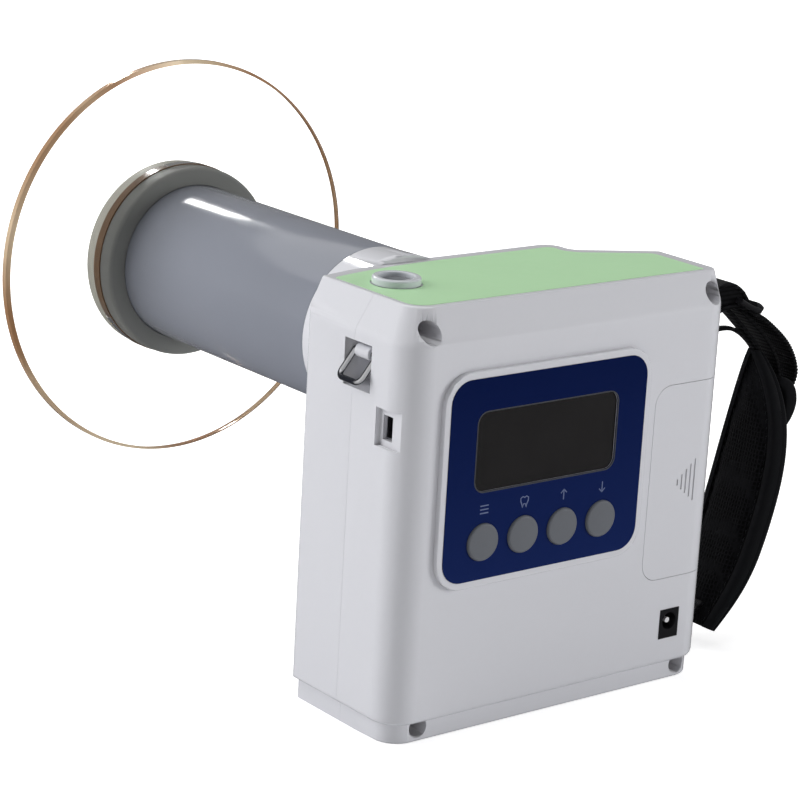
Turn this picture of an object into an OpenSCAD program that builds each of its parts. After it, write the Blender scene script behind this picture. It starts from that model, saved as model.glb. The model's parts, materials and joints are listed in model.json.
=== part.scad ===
// Portable handheld intraoral x-ray unit: a two-shell camera-like housing with a control panel,
// an aiming cone that carries a sliding backscatter shield, and a padded hand strap.
// Millimetres, +Z up. The origin is the middle of the underside. +Y is the way the beam leaves.

/* [Housing] */
// Width of the housing across the panel
housing_w = 144; // [140:0.5:150]
// Depth of the housing at its left side
housing_d = 57; // [55:0.5:60]
// Height of the flat top above the table
housing_h = 149.2; // [148.5:0.1:151]
// Height of the inset plinth at the foot
plinth_h = 7; // [6:0.5:8.5]
// How far the plinth stands back from the faces above it
plinth_inset = 2; // [1.5:0.5:3]
// Moulded wall thickness
wall = 2.5; // [2:0.1:2.6]
// Radius of the two rear upright corners
rear_corner_r = 11; // [9:0.5:12]
// Width of the sloped band along the top's rear and left edges
crown_in = 7; // [5:0.5:8]
// Width of the steeper band at the top's right edge
crown_right_in = 2; // [1:0.5:3]
// Height of the sloped band round the top
crown_h = 11; // [8:0.5:12]
// Rear left corner radius of the flat top, seen from above
crown_corner_r = 8; // [6:0.5:9]
// Where the front of the grip end would meet the right side, in front of the centre
grip_front_y = 8; // [7:0.5:9]
// Depth of the front face over the middle, in front of the centre
bulge_front_y = 35.5; // [35:0.5:37]

/* [Cone] */
// Outer radius of the aiming cone
cone_r = 29.85; // [29.5:0.05:30]
// Inner radius of the aiming cone's mouth, where a collimator insert would sit
cone_bore_r = 26; // [25.6:0.1:26.5]
// Depth of that mouth
cone_mouth = 12; // [8:1:20]
// Where the cone meets the housing's collar
collar_y = 51.2; // [49:0.2:54]
// Where the cone ends
cone_end_y = 191.5; // [190:0.5:200]
// Thickness of the lead lining inside the cone
lead_t = 0.5; // [0.3:0.1:0.8]

/* [Backscatter shield] */
// Radius of the clear shield
shield_r = 76.6; // [60:0.2:80]
// Thickness of the clear shield
shield_t = 4; // [3:0.5:6]
// Rear face of the clear shield
shield_y = 172.6; // [165:0.2:175]
// Radius of the two clamping flanges
flange_r = 36.7; // [35.5:0.1:40]

/* [Control panel] */
// Lowest edge of the printed panel
panel_z = 55.5; // [54:0.1:56]
// Height of the printed panel
panel_h = 70; // [69:0.5:71]
// Left edge of the printed panel
panel_x = -55; // [-56:0.5:-53]
// Width of the printed panel
panel_w = 86; // [85:0.5:87]
// Radius of the four round keys
key_r = 6.56; // [6:0.02:6.8]
// Distance between the keys
key_pitch = 17.45; // [17:0.05:17.8]
// Key travel
key_travel = 0.8; // [0.4:0.1:0.8]

/* [Hand strap] */
// How far the strap's middle line bows out from the side
strap_reach = 46.7; // [42:0.5:50]
// Width of the padded part
pad_w = 29; // [24:1:30]
// Thickness of the padded part
pad_t = 8; // [6:0.5:9]
// Width of the webbing
webbing_w = 10; // [8:0.5:11]

/* [Hidden] */

$fn = 64;
cut = 1;
gap = 0.05;
half_w = housing_w / 2;
half_d = housing_d / 2;
rear_y = -half_d;
part_y = 1;
crown_z = housing_h - crown_h;
front_corner_r = 3.5;
grip_corner_r = 6;
grip_lean = 62;
foot_r = 2;
crease_r = 5;
rim_r = 1.2;
crown_right_r = 4;
bulge_corner_r = 6;
bulge_x = 35.2;
valley_r = 6;
valley_x = bulge_x + bulge_corner_r + valley_r;
valley_y = grip_front_y + (valley_r + (half_w - valley_x) * cos(grip_lean)) / sin(grip_lean);
bulge_flat_x = -14;
bulge_r = 212;
cone_x = -26.4;
cone_z = 121.1;

// Driving sizes of the panel that several parts share
panel_x1 = panel_x + panel_w;
panel_z1 = panel_z + panel_h;
plateau_y = rear_y - 1.8;
plateau_rim = 2.5;
overlay_y = plateau_y + 0.2;
wall_y = rear_y + wall;
window_x = [-43.3, 18.2];
window_z = [86.35, 113.8];
key_z = 68.7;
key_x = [for (i = [0:3]) -38.55 + i * key_pitch];
board_y = [-21, -19.4];

// Exposure button on the top
expose_x = -48.8;
expose_y = 10;
expose_r = 6;
expose_travel = 1.5;

// Battery bay at the rear right corner
door_x = 38;
door_z = [40.2, 111.7];
door_r = 7;
bay_y = 5;

// Strap rings and their hinge lines
ring_z = 130.5;
ring_x = half_w - 3.5;
ring_mid_y = -1.2;
left_ring_half = 5.8;
right_ring_half = 7;
ring_len = 11;
wire_r = 1;
ring_foot_z = 20;
left_ring_angle = 39;
upper_ring_angle = 72;
lower_ring_angle = 62;
pocket_room = 1.5;
pocket_h = 16;
pocket_d = 9;

// X-ray tank
tank_half_w = 33;
tank_z = [84, 136];
tank_y = [-17, 24];
tank_wall = 2;

screw_top = [[-61.8, 141.7], [64.2, 142.1]];
screw_foot = [[-58.1, 5], [60.7, 5]];
screw_seat_y = -9;

white = [0.86, 0.86, 0.88];
steel = [0.72, 0.73, 0.75];

// ---------- shared shapes ----------

// Points along an arc
function arc(c, r, a0, a1, n = 10) =
    [for (i = [0:n]) let (a = a0 + (a1 - a0) * i / n) c + r * [cos(a), sin(a)]];

// A rectangle with rounded corners
function round_rect(x0, z0, x1, z1, r, n = 8) = concat(
    arc([x1 - r, z1 - r], r, 0, 90, n), arc([x0 + r, z1 - r], r, 90, 180, n),
    arc([x0 + r, z0 + r], r, 180, 270, n), arc([x1 - r, z0 + r], r, 270, 360, n));

// A corner of radius r drawn in by i keeps a small radius, and its centre moves in by the rest
function inner_r(r, i) = max(r - i, 0.5);
function inner_shift(r, i) = i - (r - inner_r(r, i));

// Centre of the grip end's front corner, whose front edge runs on into the valley beside the bulge
function grip_corner() =
    let (x = half_w - grip_corner_r, run = (x - valley_x) * cos(grip_lean))
    [x, valley_y - (valley_r + grip_corner_r + run) / sin(grip_lean)];

// The housing seen from above, drawn in by i: square rear, bulged front, shallow grip end
function outline(i) =
    let (s = inner_shift(front_corner_r, i), bulge_end = half_w - front_corner_r - s + bulge_flat_x,
        front_turn = asin(bulge_end / (bulge_r - i)))
    concat(
        arc([rear_corner_r - half_w, rear_y + rear_corner_r], rear_corner_r - i, 180, 270),
        arc([half_w - rear_corner_r, rear_y + rear_corner_r], rear_corner_r - i, 270, 360),
        arc(grip_corner(), grip_corner_r - i, 0, grip_lean),
        arc([valley_x, valley_y], valley_r + i, 180 + grip_lean, 180),
        arc([bulge_x, bulge_front_y - bulge_corner_r], bulge_corner_r - i, 0, 90, 6),
        arc([bulge_flat_x, bulge_front_y - bulge_r], bulge_r - i, 90, 90 + front_turn, 12),
        arc([front_corner_r - half_w + s, half_d - front_corner_r - s],
            inner_r(front_corner_r, i), 108, 180, 6));

// Box between two corners
module block(lo, hi) {
    translate(lo) cube([for (k = [0:2]) hi[k] - lo[k]]);
}

// Solid rod along Y
module rod_y(x, z, y0, y1, r) {
    translate([x, y0, z]) rotate([-90, 0, 0]) cylinder(h = y1 - y0, r = r);
}

// Rod along Y that tapers
module taper_y(x, z, y0, y1, r0, r1) {
    translate([x, y0, z]) rotate([-90, 0, 0]) cylinder(h = y1 - y0, r1 = r0, r2 = r1);
}

// Tube along Y
module tube_y(x, z, y0, y1, r, bore) {
    difference() {
        rod_y(x, z, y0, y1, r);
        rod_y(x, z, y0 - cut, y1 + cut, bore);
    }
}

// Solid rod along X
module rod_x(y, z, x0, x1, r) {
    translate([x0, y, z]) rotate([0, 90, 0]) cylinder(h = x1 - x0, r = r);
}

// Upright rod
module rod_z(x, y, z0, z1, r) {
    translate([x, y, z0]) cylinder(h = z1 - z0, r = r);
}

// Plate facing Y with rounded corners
module plate_y(x0, z0, x1, z1, r, y0, y1) {
    translate([0, y1, 0]) rotate([90, 0, 0])
        linear_extrude(y1 - y0) polygon(round_rect(x0, z0, x1, z1, r));
}

// Cap screw along Y, head towards -Y, seated at y
module screw_y(x, z, y, len, r, head_r, head_t) {
    difference() {
        union() {
            rod_y(x, z, y - head_t, y, head_r);
            rod_y(x, z, y - 0.01, y + len, r);
        }
        block([x - head_r * 0.7, y - head_t - cut, z - r * 0.2],
            [x + head_r * 0.7, y - head_t * 0.45, z + r * 0.2]);
        block([x - r * 0.2, y - head_t - cut, z - head_r * 0.7],
            [x + r * 0.2, y - head_t * 0.45, z + head_r * 0.7]);
    }
}

// ---------- housing ----------

// Straight-sided prism of the housing's outline
module outline_prism(i, z0, z1) {
    translate([0, 0, z0]) linear_extrude(z1 - z0) polygon(outline(i));
}

// Rings of the envelope as [inset, height]: the outside has a rounded foot, crease and rim
function envelope_rings(i) = i > 0
    ? [[i, plinth_h], [i, crown_z], [crown_in + i, housing_h - i]]
    : let (lean = atan2(crown_in, crown_h), steep = 90 - lean)
        concat([for (a = [0:22.5:90]) foot_r * [1 - sin(a), 1 - cos(a)] + [0, plinth_h]],
            [for (a = [0:0.25:1]) [0, crown_z]
                + crease_r * [1 - cos(lean * a), sin(lean * a) - tan(lean / 2)]],
            [for (a = [0:0.25:1]) [crown_in, housing_h]
                + rim_r * [tan(steep / 2) - cos(lean + steep * a), sin(lean + steep * a) - 1]]);

// One ring: on the way up the crown both rear corners tighten, and the right side stands in less
function envelope_ring(p, i) =
    let (up = p[1] < crown_z - crown_h ? 0 : (p[0] - i) / crown_in, inset = p[0] - up * crown_in,
        left = p[0] - half_w, right = half_w - inset - crown_right_in * up, front = half_w,
        left_r = rear_corner_r - inset - (rear_corner_r - crown_corner_r) * up,
        right_r = rear_corner_r - inset - (rear_corner_r - crown_right_r) * up)
    concat([[right, front], [left, front]],
        arc([left + left_r, rear_y + p[0] + left_r], left_r, 180, 270),
        arc([right - right_r, rear_y + p[0] + right_r], right_r, 270, 360));

// Envelope that slopes in round the top at the rear and both sides, and is open at the front
module crown_envelope(i) {
    rings = envelope_rings(i);
    points = [for (p = rings) for (q = envelope_ring(p, i)) [q[0], q[1], p[1]]];
    n = len(points) / len(rings);
    last = len(rings) - 1;
    polyhedron(points, concat([[for (k = [0:n - 1]) k]], [[for (k = [n - 1:-1:0]) last * n + k]],
        [for (j = [0:last - 1], k = [0:n - 1]) let (m = (k + 1) % n)
            [j * n + k, (j + 1) * n + k, (j + 1) * n + m, j * n + m]]));
}

module body_form(i) {
    intersection() {
        outline_prism(i, plinth_h + i, housing_h - i);
        crown_envelope(i);
    }
}

module housing_form() {
    body_form(0);
    outline_prism(plinth_inset, 0, plinth_h + 0.5);
}

module housing_cavity() {
    body_form(wall);
    outline_prism(plinth_inset + wall, wall, plinth_h + 4);
}

// Posts for the housing screws, trimmed to the housing
module screw_posts() {
    intersection() {
        union() {
            for (p = screw_top)
                rod_y(p[0], p[1], rear_y, 2 * half_d, 5.2);
            for (p = screw_foot)
                rod_y(p[0], p[1], rear_y, 2 * half_d, 5.4);
        }
        union() {
            body_form(0.01);
            outline_prism(plinth_inset + 0.01, 0.01, plinth_h + 2);
        }
    }
}

module screw_bores() {
    for (p = screw_top) {
        rod_y(p[0], p[1], rear_y - cut, screw_seat_y, 3.8);
        rod_y(p[0], p[1], screw_seat_y - cut, 9, 1.6);
    }
    for (p = screw_foot) {
        rod_y(p[0], p[1], screw_seat_y - cut, 9, 1.6);
        rod_y(p[0], p[1], rear_y + rear_corner_r / 2, screw_seat_y, 3.2);
        intersection() {
            rod_y(p[0], p[1], rear_y - cut, screw_seat_y, 3.7);
            block([-half_w, rear_y - 2 * cut, -cut], [half_w, 0, plinth_h]);
        }
    }
}

module rear_half() {
    block([-half_w - cut, rear_y - 4, -cut], [half_w + cut, part_y - gap, housing_h + cut]);
}

module front_half() {
    block([-half_w - cut, part_y + gap, -cut], [half_w + cut, 60, housing_h + 4]);
}

// Walled pocket in a side face that holds a strap ring; side is -1 on the left and 1 on the right
module ring_pocket(side, z_mid, grow) {
    d = pocket_d + grow;
    x = side * half_w;
    half = (side < 0 ? left_ring_half : right_ring_half) + pocket_room + grow;
    block([min(x, x - side * d), ring_mid_y - half, z_mid - pocket_h / 2 - grow],
        [max(x, x - side * d), ring_mid_y + half, z_mid + pocket_h / 2 + grow]);
}

module ring_pockets(grow) {
    ring_pocket(-1, ring_z - 4, grow);
    ring_pocket(1, ring_z - 4, grow);
    ring_pocket(1, ring_foot_z - 1, grow);
}

// The pockets' hollows, run out through the side faces
module pocket_mouths() {
    for (x = [-cut, 0, cut])
        translate([x, 0, 0]) intersection() {
            ring_pockets(0);
            block([-half_w, -half_d, 0], [half_w, half_d, housing_h]);
        }
}

// Cut for the battery door, with its working gap
module door_opening() {
    g = 0.2;
    plate_y(door_x - g, door_z[0] - g, half_w + 20, door_z[1] + g, door_r + g,
        rear_y - cut, rear_y + rear_corner_r + g);
}

module panel_openings() {
    plate_y(panel_x - gap, panel_z - gap, panel_x1 + gap, panel_z1 + gap, 8, plateau_y - cut, overlay_y);
    plate_y(window_x[0], window_z[0], window_x[1], window_z[1], 4, plateau_y - cut, plateau_y + 1.7);
    plate_y(window_x[0] + 2, window_z[0] + 2, window_x[1] - 2, window_z[1] - 2, 2, plateau_y, wall_y + cut);
    for (x = key_x)
        rod_y(x, key_z, plateau_y - cut, wall_y + cut, key_r + 0.09);
}

board_posts = [for (x = [panel_x + 4, panel_x1 - 4], z = [panel_z + 3, panel_z1 - 3]) [x, z]];

usb_y = [-23.6, -12.3];
usb_z = [102.2, 115.3];
usb_mid_y = -16.5;
usb_mid_z = 108.6;

module usb_opening() {
    block([-half_w - cut, usb_y[0], usb_z[0]], [-half_w + 2, usb_y[1], usb_z[1]]);
    block([-half_w - cut, usb_mid_y - 2.5, usb_mid_z - 4.2], [-half_w + 5, usb_mid_y + 2.5, usb_mid_z + 4.2]);
}

// Wall behind the USB recess
module usb_backing() {
    block([-half_w + 1.9, usb_y[0] + 0.5, usb_z[0] - 1.5], [-half_w + 4.4, usb_y[1] + 1.5, usb_z[1] + 1.5]);
}

jack_x = [48.7, 57.7];
jack_z = [17, 28];

module top_openings() {
    rod_z(expose_x, expose_y, housing_h - wall - cut, housing_h + cut, 7.5);
    translate([0, 0, housing_h - 0.3]) linear_extrude(2) polygon(label_outline(0));
}

module rear_shell() {
    color(white) difference() {
        union() {
            intersection() {
                difference() {
                    housing_form();
                    housing_cavity();
                }
                rear_half();
            }
            intersection() {
                union() {
                    screw_posts();
                    ring_pockets(1.5);
                    usb_backing();
                }
                rear_half();
                housing_form();
            }
            plate_y(panel_x - plateau_rim, panel_z - plateau_rim, panel_x1 + plateau_rim,
                panel_z1 + plateau_rim, 11, plateau_y, rear_y + 0.5);
            for (p = board_posts)
                rod_y(p[0], p[1], wall_y - 0.5, board_y[0] - gap, 2.8);
        }
        screw_bores();
        pocket_mouths();
        door_opening();
        panel_openings();
        usb_opening();
        top_openings();
        block([jack_x[0] - gap, rear_y - cut, jack_z[0] - gap],
            [jack_x[1] + gap, wall_y + cut, jack_z[1] + gap]);
        for (p = board_posts)
            rod_y(p[0], p[1], wall_y + 0.5, board_y[0] + cut, 1.3);
    }
}

// Collar on the front that the cone plugs into
module cone_collar() {
    taper_y(cone_x, cone_z, bulge_front_y - 2.3, collar_y, 30.4, 29.8);
}

module front_shell() {
    spigot_y = 36;
    color(white) difference() {
        union() {
            intersection() {
                difference() {
                    housing_form();
                    housing_cavity();
                }
                front_half();
            }
            intersection() {
                union() {
                    screw_posts();
                    ring_pockets(1.5);
                }
                front_half();
                housing_form();
            }
            cone_collar();
        }
        rod_y(cone_x, cone_z, spigot_y, collar_y + cut, 27.95);
        rod_y(cone_x, cone_z, 25, spigot_y + cut, 25.6);
        screw_bores();
        pocket_mouths();
        top_openings();
    }
}

module housing_screws() {
    color(steel) for (p = concat(screw_top, screw_foot))
        screw_y(p[0], p[1], screw_seat_y - gap, 17, 1.5, 2.75, 2.2);
}

// Outline of the green label on the top, drawn in by i
label_left = crown_in + 2 - half_w;
label_right = half_w - 6.8;
label_rear = rear_y + crown_in + 2.3;
label_r = crown_corner_r - 2;
label_front_rim = 4.3;
label_grip_r = 4;
label_tip_r = 0.8;
function label_outline(i) = concat(
    arc([label_left + label_r, label_rear + label_r], label_r - i, 180, 270, 8),
    arc([label_right - 1, label_rear + 1], 1 - i, 270, 360, 4),
    arc([label_right - label_grip_r, grip_corner()[1] + 0.3], label_grip_r - i, 0, grip_lean, 6),
    arc([valley_x, valley_y], valley_r + label_front_rim + i, 180 + grip_lean, 195),
    arc([bulge_x - 0.7, bulge_front_y - bulge_corner_r - 1.3], 3 - i, 10, 90, 5),
    arc([bulge_flat_x, bulge_front_y - bulge_r], bulge_r - label_front_rim - i, 90, 103.2, 10),
    arc([label_left + label_tip_r, half_d - 4], label_tip_r - i, 104, 180, 3));

module top_label() {
    color([0.66, 0.84, 0.65]) difference() {
        translate([0, 0, housing_h - 0.3 + 0.01]) linear_extrude(0.4) polygon(label_outline(gap));
        rod_z(expose_x, expose_y, housing_h - cut, housing_h + cut, 9);
    }
}

// ---------- control panel ----------

module control_overlay() {
    color([0.02, 0.09, 0.32]) difference() {
        plate_y(panel_x, panel_z, panel_x1, panel_z1, 8, overlay_y - 0.41, overlay_y - 0.01);
        plate_y(window_x[0], window_z[0], window_x[1], window_z[1], 4, overlay_y - cut, overlay_y + cut);
        for (x = key_x)
            rod_y(x, key_z, overlay_y - cut, overlay_y + cut, key_r + 0.09);
    }
}

module display_window() {
    color([0.1, 0.1, 0.12, 0.5])
        plate_y(window_x[0] + 0.1, window_z[0] + 0.1, window_x[1] - 0.1, window_z[1] - 0.1, 3.9,
            plateau_y + 0.4, plateau_y + 1.65);
}

module display_module() {
    color([0.2, 0.2, 0.22]) difference() {
        block([window_x[0] - 1.5, wall_y + 0.1, window_z[0] - 2],
            [window_x[1] + 1.5, board_y[0] - gap, window_z[1] + 2]);
        block([window_x[0] + 2, wall_y - cut, window_z[0] + 2],
            [window_x[1] - 2, wall_y + 2.6, window_z[1] - 2]);
    }
}

module lcd_panel() {
    color([0.16, 0.18, 0.17])
        block([window_x[0] + 2.1, wall_y + 0.7, window_z[0] + 2.1],
            [window_x[1] - 2.1, wall_y + 2.5, window_z[1] - 2.1]);
}

// Circuit board behind the panel with four key switches on its face
module keypad_board() {
    color([0.1, 0.4, 0.2]) difference() {
        union() {
            block([panel_x + 1, board_y[0], panel_z + 0.5], [panel_x1 - 1, board_y[1], panel_z1 - 0.5]);
            for (x = key_x) {
                block([x - 3, board_y[0] - 1.6, key_z - 3], [x + 3, board_y[0] + 0.01, key_z + 3]);
                rod_y(x, key_z, board_y[0] - 2.1, board_y[0] - 1.5, 1.5);
            }
        }
        for (p = board_posts)
            rod_y(p[0], p[1], board_y[0] - cut, board_y[1] + cut, 1.4);
    }
}

module board_screws() {
    color(steel) for (p = board_posts)
        mirror([0, 1, 0]) screw_y(p[0], p[1], -board_y[1] - 0.02, 5, 1.2, 2.2, 1.4);
}

// Round domed key held behind the wall by its flange
module key(i) {
    face_y = plateau_y - 1.4;
    stem_h = -board_y[0] + 2.15 + key_travel;
    color([0.5, 0.51, 0.54]) translate([key_x[i], 0, key_z]) rotate([90, 0, 0]) rotate_extrude()
        polygon(concat(
            [[0, -face_y], [2.2, -face_y - 0.02]],
            arc([key_r - 0.9, -face_y - 1.1], 0.9, 78, 0, 5),
            [[key_r, -wall_y - 0.15], [8, -wall_y - 0.15], [8, -wall_y - 1.1],
             [1.5, -wall_y - 1.1], [1.5, stem_h], [0, stem_h]]));
}

module mode_button() {
    key(0);
}

module tooth_button() {
    key(1);
}

module up_button() {
    key(2);
}

module down_button() {
    key(3);
}

// ---------- exposure button ----------

module exposure_ring() {
    color([0.93, 0.94, 0.95]) translate([expose_x, expose_y, 0]) rotate_extrude()
        polygon(concat(
            [[expose_r + 0.08, housing_h - 3.8], [7.4, housing_h - 3.8], [7.4, housing_h + 0.15]],
            [[8.4, housing_h + 0.15]],
            arc([7.6, housing_h + 1.8], 0.8, 0, 90, 5),
            arc([6.68, housing_h + 2], 0.6, 90, 180, 4)));
}

module exposure_button() {
    color([0.62, 0.64, 0.66]) translate([expose_x, expose_y, 0]) rotate_extrude()
        polygon([[0, housing_h + 0.4], [4.1, housing_h + 0.6], [5.4, housing_h + 1.1],
            [expose_r, housing_h + 0.6], [expose_r, housing_h - 4], [7, housing_h - 4],
            [7, housing_h - 5], [2, housing_h - 5], [2, housing_h - 6], [0, housing_h - 6]]);
}

// Push switch on its little board, under the button
module exposure_switch() {
    top = housing_h - 6 - expose_travel - 0.1;
    color([0.15, 0.15, 0.16]) {
        rod_z(expose_x, expose_y, top - 0.7, top, 1.6);
        block([expose_x - 3, expose_y - 3, top - 3], [expose_x + 3, expose_y + 3, top - 0.6]);
        block([expose_x - 7.4, expose_y - 8, top - 4.2], [expose_x + 8, expose_y + 8, top - 2.99]);
    }
}

// ---------- battery ----------

// Door that wraps the rear right corner and slides off to the right
module battery_door() {
    ridge_pitch = 2;
    color(white) {
        difference() {
            intersection() {
                difference() {
                    outline_prism(0, door_z[0], door_z[1]);
                    outline_prism(wall, door_z[0] - cut, door_z[1] + cut);
                }
                plate_y(door_x, door_z[0], half_w + 20, door_z[1], door_r,
                    rear_y - cut, rear_y + rear_corner_r);
            }
            for (i = [0:4])
                block([51.2 + i * ridge_pitch, rear_y - cut, 75.4 - 1.1 - i * 1.65],
                    [51.9 + i * ridge_pitch, rear_y + 0.35, 75.4 + 1.1 + i * 1.65]);
        }
        for (z = [55, 92])
            block([door_x - 4, wall_y + 0.15, z], [door_x + 4, wall_y + 1.6, z + 8]);
        for (z = [55, 92])
            block([door_x + 0.5, wall_y - 0.5, z], [door_x + 4, wall_y + 0.5, z + 8]);
    }
}

// Tray of the bay, open to the door, with two feet against the side wall
tray_t = 1.2;
tray_lo = [door_x + 1.2, wall_y + 3, door_z[0] + 0.5];
tray_hi = [half_w - 5.3, bay_y, door_z[1] - 0.5];
module battery_tray() {
    color([0.25, 0.25, 0.27]) {
        difference() {
            block(tray_lo, tray_hi);
            block([tray_lo[0] + tray_t, tray_lo[1] - cut, tray_lo[2] + tray_t],
                [tray_hi[0] - tray_t, tray_hi[1] - tray_t, tray_hi[2] - tray_t]);
        }
        for (z = [tray_lo[2] + 8, tray_hi[2] - 14])
            block([tray_hi[0] - 0.01, -8, z], [half_w - wall - gap, -2, z + 6]);
    }
}

module battery_pack() {
    color([0.12, 0.22, 0.42])
        translate([0, 0, door_z[0] + 5.5]) linear_extrude(62.5)
            polygon(round_rect(tray_lo[0] + tray_t + 0.3, tray_lo[1] + 0.3,
                tray_hi[0] - tray_t - 0.3, tray_hi[1] - tray_t - 0.3, 3));
}

// Spring leaf contacts in the foot of the bay
module battery_contacts() {
    color([0.85, 0.7, 0.35]) for (x = [46, 54, 62]) {
        block([x - 2, -14, door_z[0] + 1.75], [x + 2, -6, door_z[0] + 2.15]);
        block([x - 2, -14, door_z[0] + 2.1], [x + 2, -13.4, door_z[0] + 5.2]);
    }
}

// ---------- sockets ----------

module dc_jack() {
    mid_x = (jack_x[0] + jack_x[1]) / 2;
    color([0.08, 0.08, 0.09]) difference() {
        block([jack_x[0], rear_y - 0.2, jack_z[0]], [jack_x[1], rear_y + 14, jack_z[1]]);
        rod_y(mid_x, jack_z[1] - 4.6, rear_y - cut, rear_y + 9.8, 3.2);
    }
}

module dc_jack_pin() {
    color(steel) rod_y((jack_x[0] + jack_x[1]) / 2, jack_z[1] - 4.6, rear_y + 0.8, rear_y + 9.75, 1);
}

// Metal can of the mini-B socket, mouth to the left
module usb_socket() {
    color(steel) difference() {
        block([-half_w + 3.4, usb_mid_y - 2.3, usb_mid_z - 3.9],
            [-half_w + 11.8, usb_mid_y + 2.3, usb_mid_z + 3.9]);
        block([-half_w, usb_mid_y - 2, usb_mid_z - 3.6], [-half_w + 10.8, usb_mid_y + 2, usb_mid_z + 3.6]);
    }
}

module usb_tongue() {
    color([0.1, 0.1, 0.1])
        block([-half_w + 4.8, usb_mid_y - 0.5, usb_mid_z - 2.5],
            [-half_w + 10.75, usb_mid_y + 0.5, usb_mid_z + 2.5]);
}

// ---------- strap rings ----------

// Closed wire ring, hinged on its straight bar; angle is measured from hanging straight down
module wire_ring(side, z, half, angle) {
    bend = 2.5;
    color(steel) translate([side * ring_x, ring_mid_y, z]) rotate([0, -side * angle, 0]) {
        for (s = [-1, 1]) {
            translate([0, s * half, -ring_len + bend]) cylinder(h = ring_len - bend, r = wire_r, $fn = 24);
            translate([0, s * half, 0]) sphere(r = wire_r, $fn = 24);
            translate([0, s * (half - bend), -ring_len + bend]) rotate([0, 90, 0])
                rotate([0, 0, s * 45 - 45]) rotate_extrude(angle = 90, $fn = 48)
                    translate([bend, 0]) circle(r = wire_r, $fn = 24);
        }
        translate([0, -half, 0]) rotate([-90, 0, 0]) cylinder(h = 2 * half, r = wire_r, $fn = 32);
        translate([0, bend - half, -ring_len]) rotate([-90, 0, 0])
            cylinder(h = 2 * (half - bend), r = wire_r, $fn = 24);
    }
}

// Lug that the ring's bar turns in
module ring_lug(side, z) {
    lug_y = [ring_mid_y - 3.6, ring_mid_y + 3.6];
    back = side * (half_w - pocket_d + 0.1);
    bar = side * ring_x;
    color(white) difference() {
        union() {
            rod_y(bar, z, lug_y[0], lug_y[1], 2.3);
            block([min(back, bar), lug_y[0], z - 2.3], [max(back, bar), lug_y[1], z + 2.3]);
        }
        rod_y(bar, z, lug_y[0] - cut, lug_y[1] + cut, wire_r + 0.06);
    }
}

module left_strap_ring() {
    wire_ring(-1, ring_z, left_ring_half, left_ring_angle);
}

module left_ring_lug() {
    ring_lug(-1, ring_z);
}

module right_strap_rings() {
    wire_ring(1, ring_z, right_ring_half, upper_ring_angle);
    wire_ring(1, ring_foot_z, right_ring_half, lower_ring_angle);
}

module right_ring_lugs() {
    ring_lug(1, ring_z);
    ring_lug(1, ring_foot_z);
}

// ---------- hand strap ----------

// Middle line of the strap, seen along Y: up from the lower ring to the shoulder, over to the upper ring
function ring_tip(z, angle) = [ring_x + ring_len * sin(angle), z - ring_len * cos(angle)];
function cubic(a, b, c, d, t) =
    pow(1 - t, 3) * a + 3 * pow(1 - t, 2) * t * b + 3 * (1 - t) * t * t * c + t * t * t * d;
strap_foot = ring_tip(ring_foot_z, lower_ring_angle);
strap_head = ring_tip(ring_z, upper_ring_angle);
shoulder = [half_w + strap_reach, 98];
shoulder_t = 0.6;
function bow(t) = t < shoulder_t
    ? cubic(strap_foot, strap_foot + [19, -15], shoulder - [0.7, 38], shoulder, t / shoulder_t)
    : cubic(shoulder, shoulder + [0.3, 15], strap_head + [13, 10], strap_head,
        (t - shoulder_t) / (1 - shoulder_t));
function bow_normal(t) =
    let (d = bow(t + 0.001) - bow(t - 0.001)) [d[1], -d[0]] / norm(d);

// Band along the bow from t0 to t1, its face at a and its back at b off the middle line
module bow_band(t0, t1, a, b, y0, y1, n = 28) {
    inner = [for (i = [0:n]) let (t = t0 + (t1 - t0) * i / n) bow(t) + a * bow_normal(t)];
    outer = [for (i = [n:-1:0]) let (t = t0 + (t1 - t0) * i / n) bow(t) + b * bow_normal(t)];
    translate([0, y1, 0]) rotate([90, 0, 0]) linear_extrude(y1 - y0) polygon(concat(inner, outer));
}

// Half the pad's width at a, which runs from -1 at its foot to 1 at its head
function pad_half(a) = pad_w / 2 * (1 - 0.5 * pow(abs(a), 3));

// Leaf-shaped pad, widest in the middle
module strap_pad() {
    mid_z = 66;
    half_h = 56;
    color([0.06, 0.06, 0.07]) intersection() {
        bow_band(0.13, 0.7, -pad_t + 1, 0.9, ring_mid_y - pad_w / 2, ring_mid_y + pad_w / 2);
        translate([half_w, ring_mid_y, 0]) rotate([90, 0, 90]) linear_extrude(strap_reach + 20)
            polygon(concat([for (a = [-1:0.1:1.01]) [pad_half(a), mid_z + half_h * a]],
                [for (a = [1:-0.1:-1.01]) [-pad_half(a), mid_z + half_h * a]]));
    }
}

// Webbing on the back of the pad, with an eye round each ring
module strap_webbing() {
    t = 1.4;
    y0 = ring_mid_y - webbing_w / 2;
    y1 = ring_mid_y + webbing_w / 2;
    color([0.05, 0.05, 0.06]) {
        bow_band(0.035, 0.955, 1, 1 + t, y0, y1, 40);
        for (tip = [strap_foot, strap_head])
            tube_y(tip[0], tip[1], y0, y1, wire_r + 0.1 + t, wire_r + 0.1);
    }
}

// Slider that the webbing's end is turned back through
module strap_buckle() {
    c = bow(0.9) + 4.4 * bow_normal(0.9);
    n = bow_normal(0.9);
    color([0.05, 0.05, 0.05]) translate([c[0], ring_mid_y, c[1]])
        rotate([0, -atan2(n[1], n[0]), 0]) difference() {
            translate([-1.5, -8, -6.5]) cube([3, 16, 13]);
            for (z = [-4.2, 1.2])
                translate([-2, -5.5, z]) cube([4, 11, 3]);
        }
}

// ---------- cone and shield ----------

// Bore behind the mouth, which the lead lines
throat_r = cone_bore_r - 0.6;

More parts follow.
